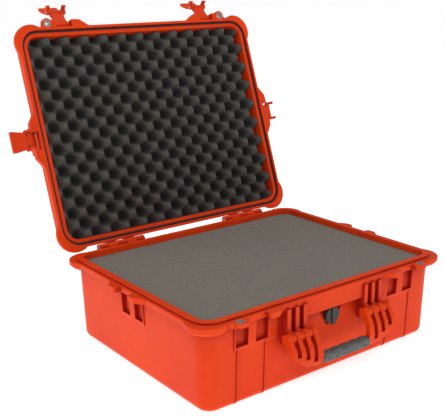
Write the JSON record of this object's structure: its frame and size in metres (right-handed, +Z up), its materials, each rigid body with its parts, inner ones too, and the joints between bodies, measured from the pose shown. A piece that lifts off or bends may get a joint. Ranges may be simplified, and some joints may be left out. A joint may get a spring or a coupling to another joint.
{
  "type": "hard equipment case",
  "caption": "Hard plastic equipment case, lid open, foam filled, with double-throw latches, a folding handle, a purge valve and padlock eyes.",
  "frame": {"origin": "centre of the case's flat underside, on the surface it stands on", "axes": "+Z up, -Y the front with latches and handle, +X to the right seen from the front; the lid opens towards +Y"},
  "size_m": [0.7064, 0.7326, 0.6405],
  "materials": {
    "shell": "satin",
    "latch": "satin",
    "grip": "matte",
    "knob": "satin",
    "seal": "matte",
    "steel": "satin",
    "base_foam": "matte",
    "lid_foam": "matte"
  },
  "bodies": {
    "base": {"base_shell": "shell", "base_foam_pad": "base_foam", "base_foam_lower": "base_foam", "base_foam_upper": "base_foam", "hinge_pin_left": "steel", "hinge_pin_right": "steel", "padlock_sleeve_base_left": "steel", "padlock_sleeve_base_right": "steel", "purge_valve_body": "knob", "purge_valve_seal": "seal", "purge_valve_nut": "knob", "handle_pin_left": "steel", "handle_pin_right": "steel"},
    "lid": {"lid_shell": "shell", "lid_seal": "seal", "lid_foam": "lid_foam", "padlock_sleeve_lid_left": "steel", "padlock_sleeve_lid_right": "steel", "latch_hinge_pin_front_left": "steel", "latch_hinge_pin_front_right": "steel", "latch_hinge_pin_side_left": "steel", "latch_hinge_pin_side_right": "steel"},
    "handle": {"handle_frame": "shell", "handle_grip": "grip"},
    "purge_knob": {"purge_knob": "knob"},
    "latch_link_front_left": {"latch_link_front_left": "latch"},
    "latch_lever_front_left": {"latch_lever_front_left": "latch", "latch_lever_pin_front_left": "steel"},
    "latch_link_front_right": {"latch_link_front_right": "latch"},
    "latch_lever_front_right": {"latch_lever_front_right": "latch", "latch_lever_pin_front_right": "steel"},
    "latch_link_side_left": {"latch_link_side_left": "latch"},
    "latch_lever_side_left": {"latch_lever_side_left": "latch", "latch_lever_pin_side_left": "steel"},
    "latch_link_side_right": {"latch_link_side_right": "latch"},
    "latch_lever_side_right": {"latch_lever_side_right": "latch", "latch_lever_pin_side_right": "steel"}
  },
  "joints": [
    {"name": "lid_hinge", "type": "hinge", "parent": "base", "child": "lid", "pos_m": [0, 0.2355, 0.163], "axis": [-1, 0, 0], "range_deg": [-109.6, 0]},
    {"name": "latch_link_front_left", "type": "hinge", "parent": "lid", "child": "latch_link_front_left", "pos_m": [-0.182, 0.40729, 0.60074], "axis": [-1, 0, 0], "range_deg": [-112, 28]},
    {"name": "latch_lever_front_left", "type": "hinge", "parent": "latch_link_front_left", "child": "latch_lever_front_left", "pos_m": [-0.182, 0.4292, 0.62541], "axis": [-1, 0, 0], "range_deg": [-38, 42]},
    {"name": "latch_link_front_right", "type": "hinge", "parent": "lid", "child": "latch_link_front_right", "pos_m": [0.182, 0.40729, 0.60074], "axis": [-1, 0, 0], "range_deg": [-112, 28]},
    {"name": "latch_lever_front_right", "type": "hinge", "parent": "latch_link_front_right", "child": "latch_lever_front_right", "pos_m": [0.182, 0.4292, 0.62541], "axis": [-1, 0, 0], "range_deg": [-38, 42]},
    {"name": "latch_link_side_left", "type": "hinge", "parent": "lid", "child": "latch_link_side_left", "pos_m": [-0.297, 0.32863, 0.37982], "axis": [0, -0.3355, -0.9421], "range_deg": [-35, 105]},
    {"name": "latch_lever_side_left", "type": "hinge", "parent": "latch_link_side_left", "child": "latch_lever_side_left", "pos_m": [-0.31593, 0.30316, 0.38889], "axis": [0, -0.3355, -0.9421], "range_deg": [-52, 28]},
    {"name": "latch_link_side_right", "type": "hinge", "parent": "lid", "child": "latch_link_side_right", "pos_m": [0.297, 0.32863, 0.37982], "axis": [0, 0.3355, 0.9421], "range_deg": [-112, 28]},
    {"name": "latch_lever_side_right", "type": "hinge", "parent": "latch_link_side_right", "child": "latch_lever_side_right", "pos_m": [0.3276, 0.34028, 0.37568], "axis": [0, 0.3355, 0.9421], "range_deg": [-34, 46]},
    {"name": "handle_hinge", "type": "hinge", "parent": "base", "child": "handle", "pos_m": [0, -0.238, 0.103], "axis": [-1, 0, 0], "range_deg": [0, 110]},
    {"name": "purge_knob_turn", "type": "hinge", "parent": "base", "child": "purge_knob", "pos_m": [0, -0.2185, 0.111], "axis": [0, -1, 0], "range_deg": [0, 270]}
  ]
}
